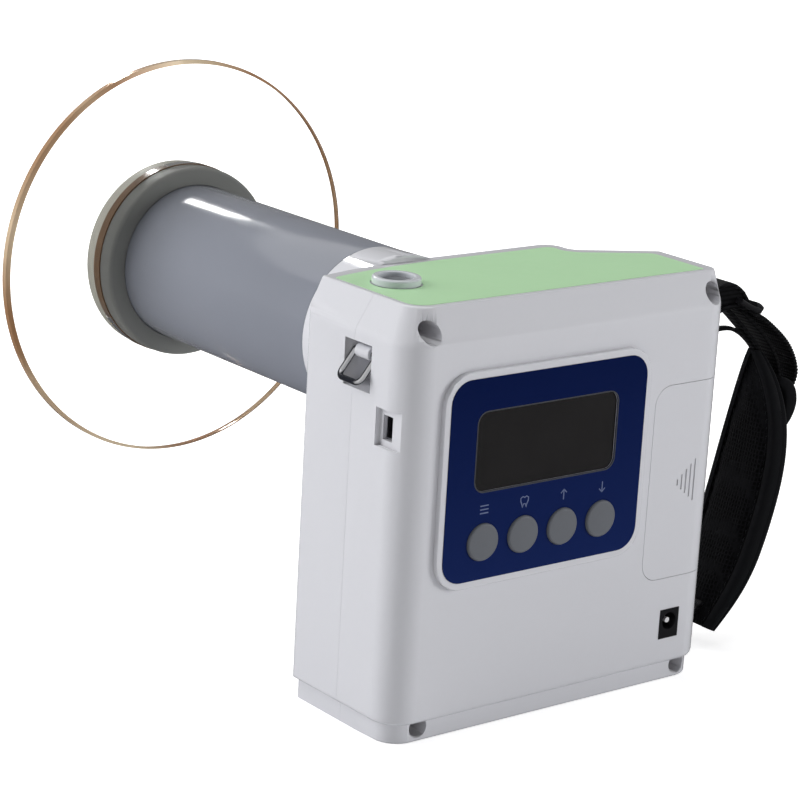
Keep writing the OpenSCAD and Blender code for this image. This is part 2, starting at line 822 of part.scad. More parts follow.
module cone_tube() {
    color([0.57, 0.59, 0.63]) difference() {
        union() {
            rod_y(cone_x, cone_z, collar_y + gap, cone_end_y, cone_r);
            rod_y(cone_x, cone_z, 36 + gap, collar_y + gap + 0.01, 27.9);
        }
        rod_y(cone_x, cone_z, 36 - cut, cone_end_y, throat_r);
        rod_y(cone_x, cone_z, cone_end_y - cone_mouth, cone_end_y + cut, cone_bore_r);
    }
}

module cone_lead_liner() {
    color([0.45, 0.46, 0.48])
        tube_y(cone_x, cone_z, 37, cone_end_y - cone_mouth, throat_r - gap, throat_r - gap - lead_t);
}

// Faces of the two clamping flanges, away from the shield
rear_flange_t = 7.1;
front_flange_t = 6.2;
flange_edge_r = 1;
rear_flange_y = shield_y - rear_flange_t;
ring_groove_y = 2.5;

module rear_flange() {
    color([0.55, 0.56, 0.55]) translate([cone_x, rear_flange_y, cone_z]) rotate([-90, 0, 0]) difference() {
        rotate_extrude($fn = 96) polygon(concat(
            [[cone_r + gap, 0]], arc([flange_r - flange_edge_r, flange_edge_r], flange_edge_r, 270, 360, 4),
            [[flange_r, rear_flange_t - gap], [cone_r + gap, rear_flange_t - gap]]));
        translate([0, 0, ring_groove_y]) rotate_extrude($fn = 96) square([cone_r + 2, 2.4]);
        for (a = [45:90:315])
            rotate([0, 0, a]) translate([33.9, 0, 3]) cylinder(h = 5, r = 1.05, $fn = 24);
    }
}

// Soft ring that grips the cone and keeps the shield where it is set
module shield_grip_ring() {
    color([0.1, 0.1, 0.1]) translate([cone_x, rear_flange_y + ring_groove_y + 1.2, cone_z])
        rotate([-90, 0, 0]) rotate_extrude($fn = 96) translate([cone_r + 1.02, 0]) circle(r = 0.95, $fn = 24);
}

module backscatter_shield() {
    bevel = 1.3;
    color([0.85, 0.87, 0.85, 0.4]) translate([cone_x, shield_y, cone_z]) rotate([-90, 0, 0]) difference() {
        rotate_extrude($fn = 128)
            polygon([[cone_r + 0.1, 0], [shield_r - bevel, 0], [shield_r, bevel],
                [shield_r, shield_t - 0.4], [shield_r - 0.4, shield_t], [cone_r + 0.1, shield_t]]);
        for (a = [45:90:315])
            rotate([0, 0, a]) translate([33.9, 0, -cut]) cylinder(h = 20, r = 1.2, $fn = 24);
    }
}

screw_seat_h = 4.75;

module front_flange() {
    color([0.72, 0.72, 0.69]) translate([cone_x, shield_y + shield_t + gap, cone_z]) rotate([-90, 0, 0])
        difference() {
            rotate_extrude($fn = 96) polygon(concat(
                [[cone_r + gap, 0], [flange_r, 0]],
                arc([flange_r - flange_edge_r, front_flange_t - flange_edge_r], flange_edge_r, 0, 90, 4),
                [[cone_r + gap, front_flange_t]]));
            for (a = [45:90:315])
                rotate([0, 0, a]) translate([33.9, 0, 0]) {
                    translate([0, 0, -cut]) cylinder(h = 20, r = 1.2, $fn = 24);
                    translate([0, 0, screw_seat_h]) cylinder(h = 4, r = 2.1, $fn = 24);
                }
        }
}

module flange_screws() {
    head_y = shield_y + shield_t + gap + screw_seat_h;
    color(steel) for (a = [45:90:315])
        translate([cone_x, 0, cone_z]) rotate([0, a, 0]) translate([33.9, head_y, 0]) rotate([-90, 0, 0]) {
            cylinder(h = 1.3, r = 1.95, $fn = 24);
            translate([0, 0, -12]) cylinder(h = 12.1, r = 1, $fn = 24);
        }
}

// ---------- x-ray generator ----------

module tank_case() {
    x0 = cone_x - tank_half_w;
    x1 = cone_x + tank_half_w;
    color([0.7, 0.71, 0.72]) difference() {
        block([x0, tank_y[0] + 2.1, tank_z[0]], [x1, tank_y[1], tank_z[1]]);
        block([x0 + tank_wall, tank_y[0], tank_z[0] + tank_wall],
            [x1 - tank_wall, tank_y[1] - tank_wall, tank_z[1] - tank_wall]);
        rod_y(cone_x, cone_z, 0, tank_y[1] + cut, 10);
        for (x = [x0 + 1, x1 - 1], z = [tank_z[0] + 12, tank_z[1] - 12])
            rod_y(x, z, tank_y[0], tank_y[0] + 8, 0.55);
    }
}

module tank_cover() {
    x0 = cone_x - tank_half_w;
    x1 = cone_x + tank_half_w;
    color([0.65, 0.66, 0.67]) difference() {
        block([x0, tank_y[0], tank_z[0]], [x1, tank_y[0] + 2, tank_z[1]]);
        for (x = [x0 + 1, x1 - 1], z = [tank_z[0] + 12, tank_z[1] - 12])
            rod_y(x, z, tank_y[0] - cut, tank_y[0] + 4, 0.6);
    }
}

module tank_screws() {
    x0 = cone_x - tank_half_w;
    x1 = cone_x + tank_half_w;
    color(steel) for (x = [x0 + 1, x1 - 1], z = [tank_z[0] + 12, tank_z[1] - 12])
        screw_y(x, z, tank_y[0] - 0.02, 6, 0.5, 0.95, 0.7);
}

// Glass x-ray tube lying across the beam, with its two end caps
module xray_tube() {
    color([0.75, 0.8, 0.82]) {
        rod_x(3, cone_z, cone_x - 24, cone_x + 24, 12.4);
        rod_x(3, cone_z, cone_x - 29, cone_x - 23.9, 7);
        rod_x(3, cone_z, cone_x + 23.9, cone_x + 29, 8.5);
    }
}

module hv_transformer() {
    color([0.5, 0.35, 0.2]) {
        block([cone_x - 29, -10, tank_z[0] + 2.2], [cone_x - 3, 18, tank_z[0] + 20]);
        rod_x(4, tank_z[0] + 11, cone_x - 30, cone_x - 2, 8.5);
    }
}

module hv_multiplier() {
    color([0.2, 0.45, 0.3]) {
        block([cone_x, -12, tank_z[0] + 2.4], [cone_x + 29, 19, tank_z[0] + 4]);
        for (i = [0:3], j = [0:1])
            rod_z(cone_x + 4.5 + i * 6.8, -4 + j * 14, tank_z[0] + 3.9, tank_z[0] + 16, 2.9);
    }
}

module port_window() {
    color([0.85, 0.85, 0.8, 0.6]) rod_y(cone_x, cone_z, tank_y[1] - 1.9, tank_y[1] - 0.1, 9.9);
}

module beam_filter() {
    color([0.8, 0.81, 0.82]) rod_y(cone_x, cone_z, tank_y[1] + 0.1, tank_y[1] + 1.6, 14);
}

module collimator() {
    color([0.4, 0.41, 0.43]) difference() {
        rod_y(cone_x, cone_z, tank_y[1] + 1.7, tank_y[1] + 5.2, 24.5);
        taper_y(cone_x, cone_z, tank_y[1] + 1.6, tank_y[1] + 5.3, 5.4, 6.6);
    }
}

// ---------- electronics ----------

module control_board() {
    y = -8;
    color([0.1, 0.42, 0.22]) {
        block([-56, y, 14], [34, y + 1.6, 80]);
        block([-40, y + 1.5, 40], [-26, y + 3.4, 54]);
        block([-8, y + 1.5, 24], [8, y + 3.2, 40]);
        for (i = [0:2])
            rod_y(18, 26 + i * 17, y + 1.5, y + 15, 5);
    }
}

module inverter_board() {
    color([0.12, 0.38, 0.25]) {
        block([14, -14, 116], [60, 6, 117.6]);
        block([18, -8, 117.5], [34, 2, 131]);
        for (i = [0:1])
            rod_z(42 + i * 11, -4, 117.5, 133, 4.5);
    }
}

module buzzer() {
    color([0.1, 0.1, 0.1]) tube_y(-48, 24, -6.3, 1.6, 6, 1);
}

// Flat cable from the panel board down to the control board
module panel_cable() {
    color([0.75, 0.75, 0.72])
        translate([-22, 0, 0]) rotate([90, 0, 90]) linear_extrude(14)
            polygon([[board_y[1] + 0.1, 66], [board_y[1] + 0.7, 66], [-14, 72], [-10, 76.5], [-8.1, 76.5],
                [-8.1, 75.9], [-9.7, 75.9], [-13.5, 71.5], [board_y[1] + 0.5, 65], [board_y[1] + 0.1, 65]]);
}

rear_shell();
front_shell();
housing_screws();
top_label();
control_overlay();
display_window();
display_module();
lcd_panel();
keypad_board();
board_screws();
mode_button();
tooth_button();
up_button();
down_button();
exposure_ring();
exposure_button();
exposure_switch();
battery_door();
battery_pack();
battery_tray();
battery_contacts();
dc_jack();
dc_jack_pin();
usb_socket();
usb_tongue();
left_strap_ring();
left_ring_lug();
right_strap_rings();
right_ring_lugs();
strap_pad();
strap_webbing();
strap_buckle();
cone_tube();
cone_lead_liner();
rear_flange();
backscatter_shield();
front_flange();
shield_grip_ring();
flange_screws();
tank_case();
tank_cover();
tank_screws();
xray_tube();
hv_transformer();
hv_multiplier();
port_window();
beam_filter();
collimator();
control_board();
inverter_board();
buzzer();
panel_cable();
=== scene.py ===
"""The looks of a portable intraoral x-ray unit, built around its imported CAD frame."""
import json
import math

import bmesh
import bpy
from mathutils import Matrix, Vector


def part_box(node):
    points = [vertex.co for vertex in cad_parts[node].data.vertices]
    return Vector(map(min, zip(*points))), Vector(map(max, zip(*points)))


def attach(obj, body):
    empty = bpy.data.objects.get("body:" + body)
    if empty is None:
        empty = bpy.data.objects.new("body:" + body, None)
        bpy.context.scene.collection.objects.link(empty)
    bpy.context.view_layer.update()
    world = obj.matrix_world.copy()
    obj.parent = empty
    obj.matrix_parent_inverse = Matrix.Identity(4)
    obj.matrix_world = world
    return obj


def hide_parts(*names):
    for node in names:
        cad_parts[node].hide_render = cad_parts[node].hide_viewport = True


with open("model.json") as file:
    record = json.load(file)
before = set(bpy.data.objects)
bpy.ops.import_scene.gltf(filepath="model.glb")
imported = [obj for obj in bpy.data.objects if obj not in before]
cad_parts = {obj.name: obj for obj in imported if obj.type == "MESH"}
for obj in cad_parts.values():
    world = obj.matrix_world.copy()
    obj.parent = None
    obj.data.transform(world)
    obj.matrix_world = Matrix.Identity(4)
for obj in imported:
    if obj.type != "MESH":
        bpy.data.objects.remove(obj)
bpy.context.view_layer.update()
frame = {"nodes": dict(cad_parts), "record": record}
NODES = frame["nodes"]
MM = 0.001

# ---------- node material helpers ----------


class Graph:
    """An emptied node tree with short calls for its nodes."""

    def __init__(self, tree):
        self.tree = tree
        tree.nodes.clear()

    def node(self, kind, ins=None, **props):
        made = self.tree.nodes.new(kind)
        for key, value in props.items():
            setattr(made, key, value)
        for key, value in (ins or {}).items():
            self.set(made.inputs[key], value)
        return made

    def set(self, socket, value):
        if isinstance(value, bpy.types.NodeSocket):
            self.tree.links.new(value, socket)
        else:
            socket.default_value = value

    def math(self, op, a, b):
        return self.node("ShaderNodeMath", {0: a, 1: b}, operation=op).outputs[0]

    def window(self, value, start, end, low=0.0, high=1.0):
        """Runs from low to high while the value runs from start to end."""
        ins = {"Value": value, "From Min": start, "From Max": end, "To Min": low, "To Max": high}
        return self.node("ShaderNodeMapRange", ins).outputs[0]

    def plain_sight(self):
        """1 for what is seen straight on or through the clear shield, 0 once it is mirrored."""
        path = self.node("ShaderNodeLightPath").outputs
        seen = self.math("MAXIMUM", path["Is Camera Ray"], path["Is Transmission Ray"])
        return self.math("MULTIPLY", seen, self.math("LESS_THAN", path["Glossy Depth"], 0.5))


class Shader(Graph):
    """A node material with the textures and the surface that this scene uses."""

    def __init__(self, name):
        self.mat = bpy.data.materials.new(name)
        self.mat.use_nodes = True
        super().__init__(self.mat.node_tree)
        self.out = self.tree.nodes.new("ShaderNodeOutputMaterial")
        self.coord = self.tree.nodes.new("ShaderNodeTexCoord").outputs["Object"]

    def noise(self, scale, detail=2.0, vector=None):
        ins = {"Vector": vector or self.coord, "Scale": scale, "Detail": detail}
        return self.node("ShaderNodeTexNoise", ins).outputs["Fac"]

    def stretch(self, scale):
        ins = {"Vector": self.coord, "Scale": scale}
        return self.node("ShaderNodeMapping", ins).outputs[0]

    def axis(self, name):
        return self.node("ShaderNodeSeparateXYZ", {0: self.coord}).outputs[name]

    def spread(self, fac, low, high):
        return self.window(fac, 0.0, 1.0, low, high)

    def mix(self, fac, a, b):
        made = self.node("ShaderNodeMix", {0: fac}, data_type="RGBA")
        self.set(made.inputs[6], a)
        self.set(made.inputs[7], b)
        return made.outputs[2]

    def bump(self, height, distance):
        return self.node("ShaderNodeBump", {"Height": height, "Distance": distance}).outputs[0]

    def surface(self, color, rough, **more):
        names = {
            "metallic": "Metallic",
            "normal": "Normal",
            "coat": "Coat Weight",
            "coat_rough": "Coat Roughness",
            "ior": "IOR",
            "clear": "Transmission Weight",
            "specular": "Specular IOR Level",
            "sheen": "Sheen Weight",
            "glow": "Emission Color",
            "glow_power": "Emission Strength",
        }
        ins = {"Base Color": color, "Roughness": rough}
        ins.update({names[key]: value for key, value in more.items()})
        made = self.node("ShaderNodeBsdfPrincipled", ins)
        self.set(self.out.inputs["Surface"], made.outputs[0])
        return self.mat


def tint(color, k):
    return tuple(min(1.0, c * k) for c in color[:3]) + (1.0,)


def plastic(name, color, rough, grain=900.0, depth=0.004, vary=0.04, coat=0.0):
    """Moulded plastic: faint cloudiness, uneven gloss and a fine moulded skin."""
    s = Shader(name)
    cloud = s.noise(35.0, 3.0)
    skin = s.noise(grain, 2.0)
    base = s.mix(cloud, tint(color, 1 - vary), tint(color, 1 + vary))
    gloss = s.spread(s.noise(220.0, 3.0), rough * 0.82, rough * 1.18)
    normal = s.bump(skin, depth * MM)
    return s.surface(base, gloss, normal=normal, coat=coat, coat_rough=0.06)


def metal(name, color, rough, streak=(1.0, 1.0, 1.0), depth=0.002):
    """Metal with fine drawn or brushed streaks."""
    s = Shader(name)
    lines = s.noise(1500.0, 3.0, vector=s.stretch(streak))
    smudge = s.noise(60.0, 3.0)
    base = s.mix(lines, tint(color, 0.86), tint(color, 1.1))
    gloss = s.spread(smudge, rough * 0.7, rough * 1.35)
    return s.surface(base, gloss, metallic=1.0, normal=s.bump(lines, depth * MM))


def board(name):
    """Circuit board lacquer with faint tracks under it."""
    s = Shader(name)
    ins = {"Vector": s.coord, "Scale": 420.0}
    cells = s.node("ShaderNodeTexVoronoi", ins, distance="MANHATTAN").outputs["Distance"]
    tracks = s.math("GREATER_THAN", cells, 0.42)
    base = s.mix(tracks, (0.008, 0.10, 0.035, 1), (0.02, 0.19, 0.07, 1))
    return s.surface(base, 0.35, normal=s.bump(tracks, 0.02 * MM))


def clear(name, color, rough, ior):
    """Clear glass or acrylic with barely uneven polish."""
    s = Shader(name)
    polish = s.spread(s.noise(90.0, 2.0), rough, rough + 0.02)
    return s.surface(color, polish, clear=1.0, ior=ior)


# ---------- mesh helpers ----------


def add_object(name, mesh, material, body, replaces=()):
    """Puts a mesh in the scene as a piece that rides on a body."""
    obj = bpy.data.objects.new(name, mesh)
    bpy.context.scene.collection.objects.link(obj)
    if material:
        obj.data.materials.append(material)
    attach(obj, body)
    if replaces:
        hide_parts(*replaces)
    return obj


def finish_mesh(mesh, angle=34.0):
    mesh.shade_smooth()
    mesh.set_sharp_from_angle(angle=math.radians(angle))


def flat_regions(bm):
    """Area of the whole flat region that each face belongs to."""
    limit = math.radians(0.6)
    areas, seen = {}, set()
    for start in bm.faces:
        if start in seen:
            continue
        seen.add(start)
        region, queue = [], [start]
        while queue:
            face = queue.pop()
            region.append(face)
            for edge in face.edges:
                for other in edge.link_faces:
                    level = other.normal.angle(start.normal, 4) < limit
                    if level and edge.smooth and other not in seen:
                        seen.add(other)
                        queue.append(other)
        total = sum(face.calc_area() for face in region)
        areas.update((face, total) for face in region)
    return areas


def fan_of(vert, face):
    """Faces round a vertex that shade together with the given face."""
    fan, queue = {face}, [face]
    while queue:
        for edge in queue.pop().edges:
            if edge.smooth and vert in edge.verts:
                fresh = [other for other in edge.link_faces if other not in fan]
                fan.update(fresh)
                queue.extend(fresh)
    return fan


def even_normals(obj):
    """Keeps large flat faces flat in the shading and lets only the rounded strips turn."""
    bm = bmesh.new()
    bm.from_mesh(obj.data)
    areas = flat_regions(bm)
    normals = []
    for face in bm.faces:
        for loop in face.loops:
            fan = fan_of(loop.vert, face)
            normals.append(sum((other.normal * areas[other] for other in fan), Vector()).normalized())
    bm.free()
    obj.data.normals_split_custom_set(normals)


def clean_copy(node):
    """A CAD node's mesh with its seams closed and its flat faces whole."""
    bm = bmesh.new()
    bm.from_mesh(NODES[node].data)
    bmesh.ops.remove_doubles(bm, verts=bm.verts, dist=0.04 * MM)
    bmesh.ops.dissolve_degenerate(bm, edges=bm.edges, dist=0.002 * MM)
    bmesh.ops.dissolve_limit(bm, angle_limit=math.radians(0.7), verts=bm.verts, edges=bm.edges)
    return bm


def sharp_edges(bm, angle, wanted):
    """Edges that bend more than the angle and that the test wants."""
    limit = math.radians(angle)
    return [
        e for e in bm.edges
        if len(e.link_faces) == 2 and e.calc_face_angle(0) > limit and wanted(e)
    ]


def round_edges(bm, width, wanted, angle=22.0, segments=3):
    """Rounds the wanted sharp edges by a width in millimetres."""
    edges = sharp_edges(bm, angle, wanted)
    verts = list({v for e in edges for v in e.verts})
    bmesh.ops.bevel(
        bm, geom=edges + verts, offset=width * MM, offset_type="OFFSET", segments=segments,
        profile=0.5, affect="EDGES", clamp_overlap=True, loop_slide=True,
    )


def to_object(bm, name, body, replaces=(), slot=None, angle=34.0):
    """Ends a bmesh as a shaded piece with the material of its slot."""
    bmesh.ops.recalc_face_normals(bm, faces=bm.faces)
    mesh = bpy.data.meshes.new(name)
    bm.to_mesh(mesh)
    bm.free()
    finish_mesh(mesh, angle)
    return add_object(name, mesh, MATERIALS[slot], body, replaces)


def lathe(name, profile, centre, body, slot, replaces=(), steps=160, angle=34.0):
    """Turns a closed profile of (radius, y) in millimetres about a line along Y."""
    bm = bmesh.new()
    rings = []
    for k in range(steps):
        turn = math.tau * k / steps
        ring = []
        for radius, y in profile:
            x = centre.x + radius * MM * math.cos(turn)
            z = centre.z + radius * MM * math.sin(turn)
            ring.append(bm.verts.new((x, y * MM, z)))
        rings.append(ring)
    for k in range(steps):
        near, far = rings[k], rings[(k + 1) % steps]
        for j in range(len(profile)):
            i = (j + 1) % len(profile)
            bm.faces.new((near[j], near[i], far[i], far[j]))
    return to_object(bm, name, body, replaces, slot, angle)


def corner(cx, cy, r, a0, a1, steps=5):
    """Points of a rounded corner in a profile."""
    angles = [math.radians(a0 + (a1 - a0) * k / steps) for k in range(steps + 1)]
    return [(cx + r * math.cos(a), cy + r * math.sin(a)) for a in angles]


# ---------- housing ----------


def near_y(edge, y):
    """Whether an edge lies at a Y in millimetres."""
    return all(abs(v.co.y / MM - y) < 0.08 for v in edge.verts)


def build_rear_shell():
    """The rear shell with the panel's plateau and the foot's edge rounded."""
    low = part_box("rear_shell")[0]
    overlay_low, overlay_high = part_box("control_overlay")
    plateau = low.y / MM
    bm = clean_copy("rear_shell")

    def plateau_rim(edge):
        centre = (edge.verts[0].co + edge.verts[1].co) / 2
        outside = (
            centre.x < overlay_low.x - 1 * MM or centre.x > overlay_high.x + 1 * MM
            or centre.z < overlay_low.z - 1 * MM or centre.z > overlay_high.z + 1 * MM
        )
        return near_y(edge, plateau) and outside

    def foot_edge(edge):
        return all(v.co.z < 0.05 * MM and v.co.y < -0.05 * MM for v in edge.verts)

    round_edges(bm, 1.2, plateau_rim, angle=50, segments=5)
    round_edges(bm, 0.8, foot_edge, angle=50, segments=3)
    shell = to_object(bm, "shell_rear", "housing", ["rear_shell"], "white_abs")
    even_normals(shell)
    return shell


def build_front_shell():
    bm = clean_copy("front_shell")
    shell = to_object(bm, "shell_front", "housing", ["front_shell"], "white_abs")
    even_normals(shell)
    return shell


def build_door():
    bm = clean_copy("battery_door")
    cover = to_object(bm, "door_cover", "door", ["battery_door"], "white_abs")
    even_normals(cover)
    return cover


# ---------- cone and shield ----------


def centre_of(node):
    low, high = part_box(node)
    return (low + high) / 2


def half_width(node):
    low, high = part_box(node)
    return (high.x - low.x) / 2 / MM


def build_cone():
    """The cone with a spigot in the collar, rounded ends and a bore down to its lead lining."""
    low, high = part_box("cone_tube")
    liner_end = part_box("cone_lead_liner")[1].y / MM
    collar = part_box("front_shell")[1].y / MM + 0.05
    outer = half_width("cone_tube")
    throat = half_width("cone_lead_liner") + 0.05
    mouth = throat + 0.6
    spigot = outer - 1.95
    near, far = low.y / MM, high.y / MM
    profile = [(throat, near), (spigot, near), (spigot, collar)]
    profile += corner(outer - 0.4, collar + 0.4, 0.4, -90, 0, 3)
    profile += corner(outer - 1.0, far - 1.0, 1.0, 0, 90)
    profile += corner(mouth + 0.5, far - 0.5, 0.5, 90, 180, 3)
    profile += [(mouth, liner_end), (throat, liner_end)]
    centre = centre_of("cone_tube")
    return lathe("cone_shell", profile, centre, "housing", "cone_grey", ["cone_tube"], 192)


def build_flanges():
    bore = half_width("cone_tube") + 0.05
    edge = half_width("rear_flange")
    centre = centre_of("rear_flange")
    low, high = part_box("rear_flange")
    near, far = low.y / MM, high.y / MM
    groove = centre_of("shield_grip_ring").y / MM
    profile = [(bore, near + 0.3), (bore + 0.3, near)]
    profile += corner(edge - 1.4, near + 1.4, 1.4, -90, 0)
    profile += corner(edge - 0.3, far - 0.3, 0.3, 0, 90, 2)
    profile += [(bore, far), (bore, groove + 1.2), (bore + 1.9, groove + 1.2)]
    profile += [(bore + 1.9, groove - 1.2), (bore, groove - 1.2)]
    lathe("flange_near", profile, centre, "shield", "flange_grey", ["rear_flange"], 192)
    low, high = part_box("front_flange")
    near, far = low.y / MM, high.y / MM
    profile = [(bore, near), (edge - 0.3, near)] + corner(edge - 0.3, near + 0.3, 0.3, -90, 0, 2)
    profile += corner(edge - 1.4, far - 1.4, 1.4, 0, 90) + [(bore + 0.3, far), (bore, far - 0.3)]
    lathe("flange_far", profile, centre, "shield", "flange_pale", ["front_flange"], 192)


def build_shield():
    """Clear disc with a copper rim; the flanges hide a brown hub ring in its middle, partly the
    acrylic's amber tint and partly painted shade.
    """
    low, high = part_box("backscatter_shield")
    rim = half_width("backscatter_shield")
    hub = half_width("rear_flange") + 0.4
    bore = half_width("cone_tube") + 0.1
    near, far = low.y / MM, high.y / MM
    bevel = 1.3
    profile = [(hub, near), (rim - bevel, near), (rim, near + bevel), (rim, far - 0.4)]
    profile += [(rim - 0.4, far), (hub, far)]
    centre = centre_of("backscatter_shield")
    replaced = ["backscatter_shield"]
    disc = lathe("shield_disc", profile, centre, "shield", "shield_clear", replaced, 256, 20)
    disc.data.materials.append(MATERIALS["shield_rim"])
    for face in disc.data.polygons:
        spot = Vector((face.center.x - centre.x, face.center.z - centre.z)).length / MM
        if spot > rim - bevel:
            face.material_index = 1
    # The brown hub stands in for the flange face seen through the amber acrylic: its tint, and painted
    # shade.
    hub_profile = [(bore, near), (hub - 0.05, near), (hub - 0.05, far), (bore, far)]
    core = lathe("shield_hub", hub_profile, centre, "shield", "shield_clear", (), 192)
    core.data.materials[0] = MATERIALS["hub_brown"]
    return disc


# ---------- prints on the panel ----------


def rounded(low_x, low_z, high_x, high_z, r):
    """Outline of a rounded rectangle in millimetres."""
    points = corner(high_x - r, high_z - r, r, 0, 90, 8)
    points += corner(low_x + r, high_z - r, r, 90, 180, 8)
    points += corner(low_x + r, low_z + r, r, 180, 270, 8)
    points += corner(high_x - r, low_z + r, r, 270, 360, 8)
    return points


SIGN_LIFT = 11.4


def ring_band(bm, outer, inner, front, back):
    """Flat closed band between two outlines of equal length."""
    rows = [
        [bm.verts.new((x * MM, y * MM, z * MM)) for x, z in line]
        for line, y in ((outer, front), (outer, back), (inner, back), (inner, front))
    ]
    n = len(outer)
    for j in range(4):
        a, b = rows[j], rows[(j + 1) % 4]
        for k in range(n):
            bm.faces.new((a[k], a[(k + 1) % n], b[(k + 1) % n], b[k]))


def stroke(bm, points, width, front, back, closed=False):
    """A drawn line of even width through the points."""
    points = [Vector(p) for p in points]
    n = len(points)
    left, right = [], []
    for k, p in enumerate(points):
        before = points[k - 1] if closed or k else p
        after = points[(k + 1) % n] if closed or k < n - 1 else p
        run = (after - before).normalized()
        side = Vector((-run.y, run.x)) * width / 2
        left.append(p + side)
        right.append(p - side)
    if closed:
        ring_band(bm, left, right, front, back)
        return
    line = left + right[::-1]
    near = [bm.verts.new((p.x * MM, front * MM, p.y * MM)) for p in line]
    far = [bm.verts.new((p.x * MM, back * MM, p.y * MM)) for p in line]
    m = len(line)
    for k in range(n - 1):
        for row in (near, far):
            bm.faces.new((row[k], row[k + 1], row[m - 2 - k], row[m - 1 - k]))
    for k in range(m):
        bm.faces.new((near[k], near[(k + 1) % m], far[(k + 1) % m], far[k]))


def icon_lines():
    """Strokes of the four key signs about their own centres, with whether each is closed."""
    tooth = [(-1.7, 1.4), (-0.8, 1.9), (0.0, 1.5), (0.8, 1.9), (1.7, 1.4), (1.6, 0.2), (1.1, -0.8)]
    tooth += [(0.9, -2.0), (0.35, -0.7), (-0.35, -0.7), (-0.9, -2.0), (-1.1, -0.8), (-1.6, 0.2)]
    bars = [([(-1.8, h), (1.8, h)], False) for h in (-1.3, 0.0, 1.3)]
    arrow = [([(0, -1.9), (0, 1.8)], False), ([(-1.3, 0.5), (0, 1.8), (1.3, 0.5)], False)]
    down = [([(x, -z) for x, z in line], closed) for line, closed in arrow]
    return [bars, [(tooth, True)], arrow, down]


def build_prints():
    """Window frame and key signs, printed a hair above the panel film."""
    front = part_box("control_overlay")[0].y / MM - 0.05
    back = front + 0.12
    low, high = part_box("display_window")
    pane = (low.x / MM - 0.1, low.z / MM - 0.1, high.x / MM + 0.1, high.z / MM + 0.1)
    bm = bmesh.new()
    outer = rounded(pane[0] - 0.42, pane[1] - 0.42, pane[2] + 0.42, pane[3] + 0.42, 4.4)
    ring_band(bm, outer, rounded(*pane, 4.0), front, back)
    frame_line = to_object(bm, "window_frame", "housing", (), "navy_overlay")
    frame_line.data.materials[0] = MATERIALS["print_silver"]
    bm = bmesh.new()
    for key, signs in zip(("mode_button", "tooth_button", "up_button", "down_button"), icon_lines()):
        centre = centre_of(key)
        for line, closed in signs:
            moved = [(x + centre.x / MM, z + centre.z / MM + SIGN_LIFT) for x, z in line]
            stroke(bm, moved, 0.42, front, back, closed)
    marks = to_object(bm, "key_signs", "housing", (), "navy_overlay")
    marks.data.materials[0] = MATERIALS["print_pale"]


# ---------- hand strap ----------

STRAP_Y = -1.2


def smooth_line(points, steps):
    """Catmull-Rom curve through the points, with even steps in each span."""
    points = [Vector(p) for p in points]
    ends = [points[0] * 2 - points[1]] + points + [points[-1] * 2 - points[-2]]
    line = []
    for k in range(1, len(ends) - 2):
        a, b, c, d = ends[k - 1:k + 3]
        for i in range(steps):
            t = i / steps
            line.append(0.5 * (2 * b + (c - a) * t + (2 * a - 5 * b + 4 * c - d) * t * t
                               + (3 * b - a - 3 * c + d) * t ** 3))
    return line + [points[-1]]


def even_line(points, pitch):
    """The same curve with its points an even distance apart."""
    line = smooth_line(points, 24)
    out, left = [line[0]], pitch
    for a, b in zip(line, line[1:]):
        span = (b - a).length
        while span >= left:
            a = a + (b - a) * (left / span)
            span = (b - a).length
            out.append(a)
            left = pitch
        left -= span
    return out


def sweep(name, line, section, slot, replaces=(), material=None):
    """Sweeps a closed section of (out, y) millimetres along a line in the XZ plane.

    section(u) gives the points at u, which runs from 0 to 1 along the line."""
    bm = bmesh.new()
    rows = []
    for k, p in enumerate(line):
        run = (line[min(k + 1, len(line) - 1)] - line[max(k - 1, 0)]).normalized()
        out = Vector((run.y, -run.x))
        u = k / (len(line) - 1)
        row = []
        for depth, y in section(u):
            spot = p + out * depth
            row.append(bm.verts.new((spot.x * MM, (STRAP_Y + y) * MM, spot.y * MM)))
        rows.append(row)
    n = len(rows[0])
    for a, b in zip(rows, rows[1:]):
        for j in range(n):
            i = (j + 1) % n
            bm.faces.new((a[j], a[i], b[i], b[j]))
    bm.faces.new(rows[0])
    bm.faces.new(rows[-1][::-1])
    made = to_object(bm, name, "housing", replaces, slot, 40.0)
    if material:
        made.data.materials[0] = MATERIALS[material]
    return made


def band_section(half, thick, round_r=0.35):
    """Section of flat webbing with rounded selvedges, the same all along it."""
    def section(u):
        t = thick / 2
        r = min(round_r, t - 0.02)
        turn = corner(t - r, half - r, r, 0, 90, 3)
        turn += corner(r - t, half - r, r, 90, 180, 3)
        turn += corner(r - t, r - half, r, 180, 270, 3)
        turn += corner(t - r, r - half, r, 270, 360, 3)
        return turn
    return section


def ribbed(half, thick, ribs, depth):
    """Webbing section whose faces swell and sink along its length."""
    def section(u):
        swell = depth * math.sin(math.tau * ribs * u)
        return band_section(half + swell * 0.3, thick + 2 * swell)(u)
    return section


PAD_LINE = [(90.6, 7.6), (100.2, 28), (107.0, 47), (111.8, 66)]
PAD_LINE += [(114.0, 83), (113.6, 97), (111.2, 110.5)]
PAD_HALF = 14.4
PAD_THICK = 9.6


def pad_half(u):
    """Half the pad's width at u: a flat narrowed foot, a full middle and a pointed head."""
    head = max(0.0, (u - 0.42) / 0.58)
    foot = max(0.0, (0.30 - u) / 0.30)
    return PAD_HALF * (1 - 0.88 * head ** 2.8) * (1 - 0.30 * foot ** 1.8)


def pad_thick(u):
    """Thickness of the pad at u, thinned towards both ends."""
    ends = abs(u - 0.5) * 2
    return PAD_THICK * (1 - (0.62 if u > 0.5 else 0.4) * ends ** 3)


